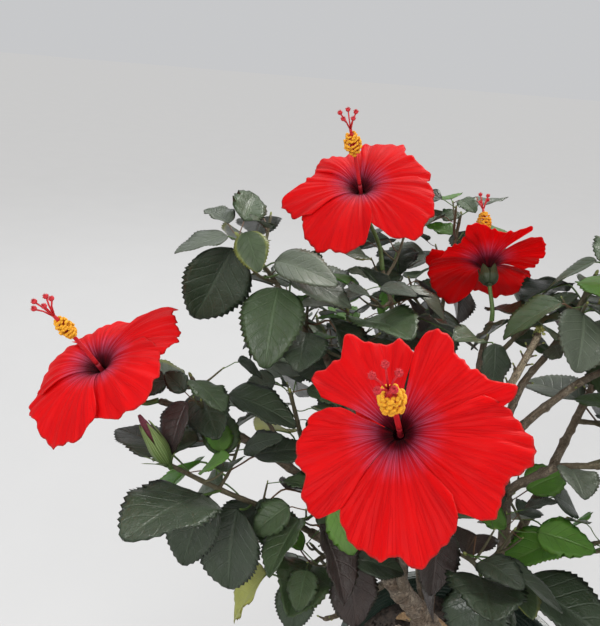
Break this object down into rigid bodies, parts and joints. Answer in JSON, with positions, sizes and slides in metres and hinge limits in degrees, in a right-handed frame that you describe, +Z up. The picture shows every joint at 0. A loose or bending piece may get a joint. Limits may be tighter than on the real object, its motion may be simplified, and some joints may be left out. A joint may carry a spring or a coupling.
{
  "type": "potted hibiscus shrub",
  "caption": "Open hibiscus shrub in a round tapered pot, with large red blooms and toothed dark leaves.",
  "frame": {"origin": "centre of the flat underside of the pot", "axes": "+Z up; -Y towards the side that the picture was taken from; +X to the right of that view"},
  "size_m": [0.6885, 0.524, 0.8122],
  "materials": {
    "pot": "dark green, half gloss",
    "soil": "damp crumbly soil with dry litter",
    "bark": "rough grey-brown bark",
    "foliage": "dark leaves with a soft sheen",
    "petals": "velvety red petals"
  },
  "bodies": {
    "root": {"pot": "pot", "soil": "soil", "trunk": "bark", "stem_right": "bark", "bough_left_low": "bark", "bough_left_mid": "bark", "bough_upper_left": "bark", "bough_top": "bark", "bough_front": "bark", "bough_back_left": "bark", "bough_back": "bark", "bough_back_right": "bark", "bough_right_low": "bark", "bough_right_mid": "bark", "bough_right_top": "bark", "bough_right_high": "bark", "bough_stub": "bark", "twig_bare": "bark", "twig_rim": "bark", "bloom_front": "petals", "bloom_left": "petals", "bloom_top": "petals", "bloom_right": "petals", "bloom_back": "petals", "bloom_back_low": "petals", "foliage_upper_left": "foliage", "foliage_left_mid": "foliage", "foliage_left_low": "foliage", "foliage_centre_left": "foliage", "foliage_low_left": "foliage", "foliage_front_low": "foliage", "foliage_right_front": "foliage", "foliage_centre": "foliage", "foliage_top_centre": "foliage", "foliage_top_back": "foliage", "foliage_right_near": "foliage", "foliage_right": "foliage", "foliage_right_low": "foliage", "foliage_right_far": "foliage", "foliage_back_left": "foliage", "foliage_back_low": "foliage", "foliage_back_right": "foliage", "foliage_right_back_low": "foliage"}
  },
  "joints": []
}
